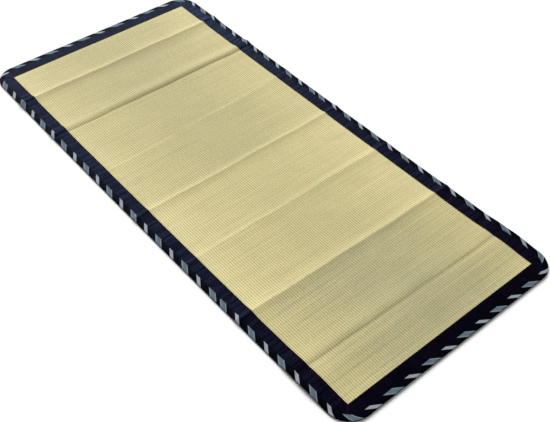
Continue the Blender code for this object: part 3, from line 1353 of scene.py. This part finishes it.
@dataclass(frozen=True)
class RimPath:
    """Lays out the stations of a border round the mat's outline."""

    lie: MatLie
    step: float = 0.0028
    side_gather: float = 1.0
    end_gather: float = 0.22
    corner_gather: float = 0.45

    def side(self, side: Side, start: float, end: float) -> Stations:
        """Return the stations along one long side.

        Args:
            side: Which side.
            start: The y of the first station.
            end: The y up to which they go.

        Returns:
            The stations, without the last.
        """
        y = np.linspace(start, end, round(abs(end - start) / self.step) + 1)
        still = np.ones_like(y)
        edges = (self.lie.field_x, self.lie.width / 2)
        places = [np.stack([side.value * edge * still, y], axis=-1) for edge in edges]
        return Stations(*places, self.side_gather * still, 0.0 * still)

    def end(self, end: End, rightwards: bool) -> Stations:
        """Return the stations along one short end.

        Args:
            end: Which end.
            rightwards: Whether they run from left to right.

        Returns:
            The stations, without those that the corners hold.
        """
        reach = self.lie.arc_x
        x = np.linspace(-reach, reach, round(2 * reach / self.step / 1.3) + 1)[1:-1]
        x = x if rightwards else x[::-1]
        still = np.ones_like(x)
        edges = (self.lie.field_y, self.lie.length / 2)
        places = [np.stack([x, end.value * edge * still], axis=-1) for edge in edges]
        return Stations(*places, self.end_gather * still, 0.0 * still)

    def corner(self, side: Side, end: End, way: Way) -> Stations:
        """Return the stations that fan round one corner.

        Args:
            side: Which side of the mat.
            end: Which end of it.
            way: Which way the border runs round it.

        Returns:
            The stations.
        """
        lie = self.lie
        reach = lie.corner_radius - lie.border_width
        angle = np.radians(np.linspace(0.0, 90.0, 45))[1:]
        low = angle <= pi / 4 + 1e-9
        x_inner = np.where(low, reach, reach / np.tan(np.maximum(angle, 0.1)))
        y_inner = np.where(low, reach * np.tan(np.minimum(angle, 1.5)), reach)
        inner = np.stack([side.value * (lie.arc_x + x_inner), end.value * (lie.arc_y + y_inner)], axis=-1)
        x_outer = lie.arc_x + lie.corner_radius * np.cos(angle)
        y_outer = lie.arc_y + lie.corner_radius * np.sin(angle)
        outer = np.stack([side.value * x_outer, end.value * y_outer], axis=-1)
        gather = np.full_like(angle, self.corner_gather)
        mitre = np.degrees(angle) - 45.0
        order = slice(None, None, way.value)
        return Stations(inner[order], outer[order], gather, 1.0 / (1.0 + (mitre[order] / 3.5) ** 2))

    def near_length(self) -> Stations:
        """Return the stations from the left join round the near end to the right join."""
        left, right = self.lie.left_join_y, self.lie.right_join_y
        return self.length(Side.LEFT, left, End.NEAR, Side.RIGHT, right)

    def far_length(self) -> Stations:
        """Return the stations from the right join round the far end to the left join."""
        left, right = self.lie.left_join_y, self.lie.right_join_y
        return self.length(Side.RIGHT, right, End.FAR, Side.LEFT, left)

    def length(self, first: Side, start: float, end: End, last: Side, stop: float) -> Stations:
        """Return the stations from a join on one side round an end to the join on the other side.

        Args:
            first: The side on which they begin.
            start: The y of the join there.
            end: The end that they go round.
            last: The side on which they finish.
            stop: The y of the join there.

        Returns:
            All their stations.
        """
        half_gap = end.value * self.lie.fit_gap / 2
        turn_y = end.value * self.lie.arc_y
        runs = (
            self.side(first, start + half_gap, turn_y),
            self.corner(first, end, Way.SIDE_TO_END),
            self.end(end, rightwards=first is Side.LEFT),
            self.corner(last, end, Way.END_TO_SIDE),
            self.side(last, turn_y, stop + half_gap),
        )
        return self.chain(runs)

    @staticmethod
    def chain(runs: Sequence[Stations]) -> Stations:
        """Join runs one after another and soften how the gathering changes between them.

        Args:
            runs: The runs, in order.

        Returns:
            All their stations.
        """
        whole = runs[0]
        for run in runs[1:]:
            whole = whole.joined(run)
        kernel = np.hanning(31)
        padded = np.pad(whole.gather, 15, mode="edge")
        gather = np.convolve(padded, kernel / kernel.sum(), mode="valid")
        return Stations(whole.inner, whole.outer, gather, whole.mitre)


@dataclass(frozen=True)
class DashMark:
    """How many dashes a border has passed at a distance from its start."""

    distance: float
    count: float


NEAR_MARKS = (
    DashMark(0.0240, 0),
    DashMark(0.2856, 4),
    DashMark(0.4822, 7),
    DashMark(0.5560, 8),
    DashMark(0.7085, 10),
    DashMark(0.8596, 12),
    DashMark(1.0055, 14),
    DashMark(1.1483, 16),
    DashMark(1.2962, 18),
    DashMark(1.5214, 21),
    DashMark(1.7434, 24),
    DashMark(1.8887, 26),
    DashMark(2.0373, 28),
    DashMark(2.2565, 31),
    DashMark(2.4647, 34),
)
FAR_MARKS = (
    DashMark(0.0290, 0),
    DashMark(0.2981, 4),
    DashMark(0.4348, 6),
    DashMark(0.5765, 8),
    DashMark(0.7143, 10),
    DashMark(0.7827, 11),
    DashMark(0.8605, 12),
    DashMark(0.9485, 13),
    DashMark(1.0238, 14),
    DashMark(1.0951, 15),
    DashMark(1.1768, 16),
    DashMark(1.2601, 17),
    DashMark(1.4041, 19),
    DashMark(1.5509, 21),
    DashMark(1.6905, 23),
    DashMark(1.7779, 24),
    DashMark(1.8501, 25),
    DashMark(1.9899, 27),
    DashMark(2.1339, 29),
    DashMark(2.2823, 31),
    DashMark(2.3561, 32),
    DashMark(2.5008, 34),
    DashMark(2.6447, 36),
    DashMark(2.7835, 38),
    DashMark(3.0630, 42),
)


@dataclass(frozen=True)
class PaintedSheenStop:
    """How much painted sheen the border's cloth gets at a place along the mat, on each side."""

    y: float
    left: float
    right: float


# Painted sheen along the border, stepping up past the near ridge and strongest at the far right, towards the
# light.
PAINTED_SHEEN = (
    PaintedSheenStop(-1.000, 0.00, 0.00),
    PaintedSheenStop(-0.700, 0.10, 0.09),
    PaintedSheenStop(-0.523, 0.13, 0.11),
    PaintedSheenStop(-0.511, 0.22, 0.20),
    PaintedSheenStop(-0.100, 0.31, 0.37),
    PaintedSheenStop(0.150, 0.35, 0.41),
    PaintedSheenStop(0.400, 0.48, 0.56),
    PaintedSheenStop(0.650, 0.46, 0.80),
    PaintedSheenStop(0.830, 0.49, 1.00),
    PaintedSheenStop(0.980, 0.70, 1.00),
)


@dataclass(frozen=True)
class SectionPoint:
    """A point of the border's section.

    Its distance from the inner edge is fixed, plus a share of the border's width there.
    """

    fixed: float
    share: float
    height: float
    loose: float
    turn: float | None = None


@dataclass(frozen=True)
class BorderSection:
    """The section of the folded border: over the top, round the rim, underneath, and back inside."""

    lie: MatLie
    hem: float = 0.0042
    stitch_at: float = 0.0026
    stitch_dip: float = 0.00025
    hem_lift: float = 0.00020

    def between(self, share: float, height: float, loose: float) -> SectionPoint:
        """Return a point on a flat layer, at a share of the way from the hem to the rim."""
        fixed = self.hem * (1 - share) - self.lie.rim_radius * share
        return SectionPoint(fixed, share, height, loose)

    def round_rim(self, radius: float, steps: int) -> list[SectionPoint]:
        """Return the half round of one face of the cloth.

        Args:
            radius: The face's radius.
            steps: How many points it has.

        Returns:
            The points, from its top to its bottom.
        """
        rim = self.lie.rim_radius
        points = []
        for angle in np.linspace(pi / 2, -pi / 2, steps):
            fixed = -rim + radius * cos(angle)
            loose = 0.25 * max(0.0, sin(angle))
            points.append(SectionPoint(fixed, 1.0, rim + radius * sin(angle), loose, float(angle)))
        return points

    def hem_edge(self, low: float, high: float) -> list[SectionPoint]:
        """Return the folded edge of a hem.

        Args:
            low: The height of its lower face.
            high: The height of its upper face.

        Returns:
            The points from its upper face round to its lower one.
        """
        middle, half = (low + high) / 2, (high - low) / 2
        turns = np.linspace(0, pi, 5)
        return [SectionPoint(half * (1 - sin(turn)), 0.0, middle + half * cos(turn), 0.6) for turn in turns]

    def points(self) -> list[SectionPoint]:
        """Return the whole section, its points in order round it."""
        lie = self.lie
        top, under_top = lie.edge_thickness, lie.edge_thickness - lie.cloth
        shares = np.array([0.05, 0.12, 0.22, 0.33, 0.44, 0.55, 0.66, 0.77, 0.87, 0.95])
        upper = [
            SectionPoint(self.stitch_at - 0.0009, 0.0, top + self.hem_lift, 0.6),
            SectionPoint(self.stitch_at, 0.0, top - self.stitch_dip, 0.6),
            SectionPoint(self.stitch_at + 0.0009, 0.0, top + self.hem_lift, 0.7),
            self.between(0.0, top + self.hem_lift * 0.5, 0.8),
            *(self.between(s, top, 1.0) for s in shares),
            *self.round_rim(lie.rim_radius, 11),
        ]
        lower = [self.between(s, 0.0, 0.0) for s in (0.8, 0.4, 0.0)]
        outer = [*self.hem_edge(under_top, top)[1::-1], *upper, *lower]
        turned = self.hem_edge(0.0, lie.cloth)
        bottom_hem = turned[::-1][1:-1]
        inside_low = [self.between(s, lie.cloth, 0.0) for s in (0.0, 0.5)]
        inside_rim = self.round_rim(lie.rim_radius - lie.cloth, 5)[::-1]
        inside_top = [self.between(s, under_top, 1.0) for s in shares[::-2]]
        top_hem = self.hem_edge(under_top, top)[::-1][:2]
        return [*outer, *bottom_hem, *inside_low, *inside_rim, *inside_top, *top_hem]


@dataclass(frozen=True)
class BorderLength:
    """One length of border cloth, folded round the edge of the rush and sewn down along its hem."""

    name: str
    node: str
    lie: MatLie
    stations: Stations
    marks: tuple[DashMark, ...]
    flat: tuple[float, float]
    seed: int
    pucker_spacing: float = 0.0262
    pucker_rise: float = 0.00085
    ripple_rise: float = 0.00024
    mitre_rise: float = 0.00110
    join_rise: float = 0.00050
    join_run: float = 0.007
    crest_width: float = 0.003
    drift: float = 0.34
    drift_waves: tuple[float, ...] = (0.31, 0.17, 0.093)
    lean: float = 0.18
    lean_waves: tuple[float, ...] = (0.12, 0.071)
    strength_waves: tuple[float, ...] = (0.083, 0.049, 0.21)
    ripple_waves: tuple[float, ...] = (0.0125, 0.0087, 0.0061)

    def puckered(self, along: Array, inside: Array, gather: Array, mitre: Array) -> Array:
        """Return how far the loose upper layer of cloth rises in puckers.

        Args:
            along: Distances along the rim.
            inside: Distances inside the rim.
            gather: How strongly the cloth is gathered.
            mitre: How near the middle of a corner is.

        Returns:
            The rise at each place.
        """
        drift = Waver(self.seed, self.drift_waves).at(along)
        lean = Waver(self.seed + 1, self.lean_waves).at(along) * inside / self.lie.border_width
        phase = along / self.pucker_spacing + self.drift * drift + self.lean * lean
        ridge = 1 - (0.5 + 0.5 * np.cos(2 * pi * phase)) ** 4
        strength = np.clip(0.75 + 0.5 * Waver(self.seed + 2, self.strength_waves).at(along), 0.12, 1.6)
        fine = Waver(self.seed + 3, self.ripple_waves).at(along + 0.1 * inside)
        from_rim = eased(0.006, 0.026, inside)
        rise = self.pucker_rise * ridge * strength + self.ripple_rise * (1.2 + fine)
        rise = rise * gather * from_rim
        fold = self.mitre_rise * mitre * eased(0.004, 0.030, inside)
        ends = np.minimum(along, along.max() - along)
        lap = self.join_rise * np.exp(-((ends / self.join_run) ** 2))
        return rise + fold + lap

    def build(self, material: bpy.types.Material) -> bpy.types.Object:
        """Fold the cloth round the mat.

        Args:
            material: The border's material.

        Returns:
            The length of border.
        """
        lie, stations = self.lie, self.stations
        section = BorderSection(lie).points()
        fixed, share, height, loose = (
            np.array([getattr(point, name) for point in section])[None, :]
            for name in ("fixed", "share", "height", "loose")
        )
        width, over = stations.width, stations.over
        reach = fixed + share * width[:, None]
        x = stations.inner[:, :1] + over[:, :1] * reach
        y = stations.inner[:, 1:] + over[:, 1:] * reach
        quarter = lie.rim_radius * pi / 2
        inside = width[:, None] - lie.rim_radius - reach + quarter
        for index, point in enumerate(section):
            if point.turn is not None:
                inside[:, index] = lie.rim_radius * point.turn
            elif point.height < lie.rim_radius:
                inside[:, index] *= -1
        along = np.broadcast_to(stations.along[:, None], inside.shape)
        rise = self.puckered(along, np.abs(inside), stations.gather[:, None], stations.mitre[:, None])
        cloth = Cloth(self.name)
        numbers = cloth.grid(lie.laid(x, y, height + loose * rise), len(x))
        ring = np.concatenate([numbers, numbers[:, :1]], axis=1)
        cloth.fill(ring)
        cloth.closings.append([int(n) for n in numbers[0]])
        cloth.closings.append([int(n) for n in numbers[-1][::-1]])
        piece = cloth.finish(material, "border_cloth")
        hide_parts(self.node)
        count = self.counted(stations.along)[:, None] * np.ones_like(inside)
        keep_values(piece, "border_run", np.stack([count, inside, along], axis=-1).reshape(-1, 3))
        keep_values(piece, "cloth_place", np.stack([along, inside, 0 * along], axis=-1).reshape(-1, 3))
        keep_values(piece, "gather_rise", np.clip(rise * loose / self.pucker_rise, 0.0, 1.2).ravel())
        keep_values(piece, "fold_crest", lie.nearness(lie.crests, x.ravel(), y.ravel(), self.crest_width))
        # The painted sheen mask for the material.
        keep_values(piece, "cloth_painted_sheen", self.painted_sheen_at(x.ravel(), y.ravel()))
        return piece

    def painted_sheen_at(self, x: Array, y: Array) -> Array:
        """Return how much painted sheen the cloth gets: none at the near end, and most at the far right.

        Args:
            x: Places across the mat.
            y: Places along it.

        Returns:
            A number from 0 to 1 for each place.
        """
        stops = [stop.y for stop in PAINTED_SHEEN]
        left = np.interp(y, stops, [stop.left for stop in PAINTED_SHEEN])
        right = np.interp(y, stops, [stop.right for stop in PAINTED_SHEEN])
        share = x / self.lie.width + 0.5
        return left * (1 - share) + right * share

    def counted(self, along: Array) -> Array:
        """Return the count of dashes along the rim.

        Args:
            along: Distances from the start of the border.

        Returns:
            The count at each distance.
        """
        places = np.array([mark.distance for mark in self.marks])
        counts = np.array([mark.count for mark in self.marks], float)
        first = (counts[1] - counts[0]) / (places[1] - places[0])
        last = (counts[-1] - counts[-2]) / (places[-1] - places[-2])
        count = np.interp(along, places, counts)
        count = np.where(along < places[0], counts[0] + (along - places[0]) * first, count)
        return np.where(along > places[-1], counts[-1] + (along - places[-1]) * last, count)

    def stitch(self, material: bpy.types.Material) -> bpy.types.Object:
        """Sew the border down along its upper hem with a running stitch.

        Args:
            material: The thread's material.

        Returns:
            The stitches.
        """
        return SeamStitches(self).build(material)


@dataclass(frozen=True)
class SeamStitches:
    """The running stitch that holds one length of border to the rush.

    Its profile gives each ring of a stitch: its share of the length, its swell and how far it sinks.
    """

    border: BorderLength
    spacing: float = 0.0046
    length: float = 0.0031
    radius: float = 0.00027
    sides: int = 5
    profile: tuple[tuple[float, float, float], ...] = (
        (0.0, 0.35, -1.2),
        (0.2, 1.0, 0.0),
        (0.8, 1.0, 0.0),
        (1.0, 0.35, -1.2),
    )

    def build(self, material: bpy.types.Material) -> bpy.types.Object:
        """Make the stitches, each a short rounded strand sunk into the hem.

        Args:
            material: The thread's material.

        Returns:
            The stitches, as one piece.
        """
        border = self.border
        lie, stations = border.lie, border.stations
        section = BorderSection(lie)
        line = stations.inner + stations.over * section.stitch_at
        inside = stations.width - lie.rim_radius - section.stitch_at + lie.rim_radius * pi / 2
        rise = border.puckered(stations.along, inside, stations.gather, stations.mitre)
        height = lie.edge_thickness - section.stitch_dip + 0.6 * rise + 0.4 * self.radius
        points = lie.laid(line[:, 0], line[:, 1], height)
        walked = np.concatenate([[0.0], np.cumsum(np.linalg.norm(np.diff(points, axis=0), axis=1))])
        starts = np.arange(self.spacing, walked[-1] - self.spacing, self.spacing)
        cloth = Cloth(border.name.replace("border_cloth", "seam_thread"))
        ends = [
            np.stack([np.interp(starts + off, walked, points[:, axis]) for axis in range(3)], -1)
            for off in (0.0, self.length)
        ]
        ahead = ends[1] - ends[0]
        ahead /= np.linalg.norm(ahead, axis=1)[:, None]
        aside = np.cross(ahead, (0.0, 0.0, 1.0))
        aside /= np.linalg.norm(aside, axis=1)[:, None]
        above = np.cross(aside, ahead)
        sides = [(cos(turn), sin(turn)) for turn in np.linspace(0, 2 * pi, self.sides, endpoint=False)]
        rings = []
        for share, swell, sink in self.profile:
            centre = ends[0] + (ends[1] - ends[0]) * share + above * self.radius * sink
            rings += [centre + self.radius * swell * (aside * c + above * s) for c, s in sides]
        table = np.stack(rings, axis=1)
        numbers = cloth.grid(table.reshape(-1, 3), len(starts))
        numbers = numbers.reshape(len(starts), len(self.profile), self.sides)
        for row in numbers:
            cloth.fill(np.concatenate([row, row[:, :1]], axis=1), flipped=True)
            cloth.closings += [[int(n) for n in row[0]], [int(n) for n in row[-1][::-1]]]
        piece = cloth.finish(material, "border_cloth")
        keep_values(piece, "cloth_place", table.reshape(-1, 3))
        return piece


@dataclass(frozen=True)
class PhotoCamera:
    """The camera, where the mat's corners and ribs in the photo put it."""

    place: tuple[float, float, float] = (-1.35435, -1.71413, 2.02369)
    forward: tuple[float, float, float] = (0.456034, 0.523649, -0.719601)
    right: tuple[float, float, float] = (0.765001, -0.643823, 0.016300)
    lens: float = 56.466
    sensor: float = 36.0

    def build(self) -> bpy.types.Object:
        """Set up the camera.

        Returns:
            The camera.
        """
        data = bpy.data.cameras.new("photo_camera")
        data.lens = self.lens
        data.sensor_width = self.sensor
        camera = bpy.data.objects.new("photo_camera", data)
        forward, right = Vector(self.forward).normalized(), Vector(self.right).normalized()
        axes = Matrix((right, right.cross(forward), -forward)).transposed()
        camera.matrix_world = Matrix.Translation(self.place) @ axes.to_4x4()
        bpy.context.scene.collection.objects.link(camera)
        bpy.context.scene.camera = camera
        return camera


@dataclass(frozen=True)
class SoftLight:
    """A broad, even light from one direction, as from a large softbox some way off."""

    name: str
    turn: float
    elevation: float
    spread: float
    power: float
    colour: Colour
    distance: float = 4.0

    def build(self) -> bpy.types.Object:
        """Hang the light.

        Returns:
            The light.
        """
        data = bpy.data.lights.new(self.name, "SUN")
        data.angle = radians(self.spread)
        data.energy = self.power
        data.color = self.colour
        light = bpy.data.objects.new(self.name, data)
        turn, rise = radians(self.turn), radians(self.elevation)
        away = Vector((sin(turn) * cos(rise), cos(turn) * cos(rise), sin(rise)))
        light.location = away * self.distance
        light.rotation_mode = "QUATERNION"
        light.rotation_quaternion = away.to_track_quat("Z", "Y")
        bpy.context.scene.collection.objects.link(light)
        return light


@dataclass(frozen=True)
class Studio:
    """The plain pale room: floor, surroundings and soft lights."""

    floor_size: float = 60.0
    floor_drop: float = 0.0004
    surroundings: float = 0.42
    lights: tuple[SoftLight, ...] = (SoftLight("far_softbox", 22.0, 34.0, 40.0, 4.7, (1.0, 0.99, 0.97)),)

    def build(self) -> None:
        """Lay the floor, light the room and set how the picture is developed."""
        half = self.floor_size / 2
        mesh = bpy.data.meshes.new("pale_floor")
        corners = [(x * half, y * half, -self.floor_drop) for x, y in ((-1, -1), (1, -1), (1, 1), (-1, 1))]
        mesh.from_pydata(corners, [], [(0, 1, 2, 3)])
        mesh.materials.append(FloorFinish().material())
        floor = bpy.data.objects.new("pale_floor", mesh)
        bpy.context.scene.collection.objects.link(floor)
        world = bpy.data.worlds.new("pale_room")
        world.use_nodes = True
        sky = world.node_tree.nodes["Background"]
        sky.inputs["Color"].default_value = (1.0, 1.0, 1.0, 1.0)
        sky.inputs["Strength"].default_value = self.surroundings
        bpy.context.scene.world = world
        bpy.context.scene.view_settings.view_transform = "Standard"
        for light in self.lights:
            light.build()


@dataclass(frozen=True)
class RushMat:
    """The whole mat: the panel, two lengths of border and their stitches."""

    lie: MatLie

    def build(self) -> None:
        """Build every piece and log how many triangles each has."""
        panel = RushPanel(self.lie, RushFinish()).build()
        self.report(panel)
        cloth, thread = BorderFinish().material(), ThreadFinish().material()
        path = RimPath(self.lie)
        near, far = path.near_length(), path.far_length()
        lengths = (
            BorderLength("border_cloth_near", "border_near", self.lie, near, NEAR_MARKS, (0.124, 2.50), 21),
            BorderLength("border_cloth_far", "border_far", self.lie, far, FAR_MARKS, (0.124, 3.10), 57),
        )
        for length in lengths:
            border, stitches = length.build(cloth), length.stitch(thread)
            self.report(border)
            self.report(stitches)

    @staticmethod
    def report(piece: bpy.types.Object) -> None:
        """Log a finished piece and how many triangles it has."""
        piece.data.calc_loop_triangles()
        LOG.info("%s: %d triangles", piece.name, len(piece.data.loop_triangles))


def main() -> None:
    """Set up the camera and the room, and build the mat."""
    logging.basicConfig(level=logging.INFO, format="%(message)s")
    PhotoCamera().build()
    Studio().build()
    RushMat(MatLie()).build()


if __name__ == "__main__":
    main()
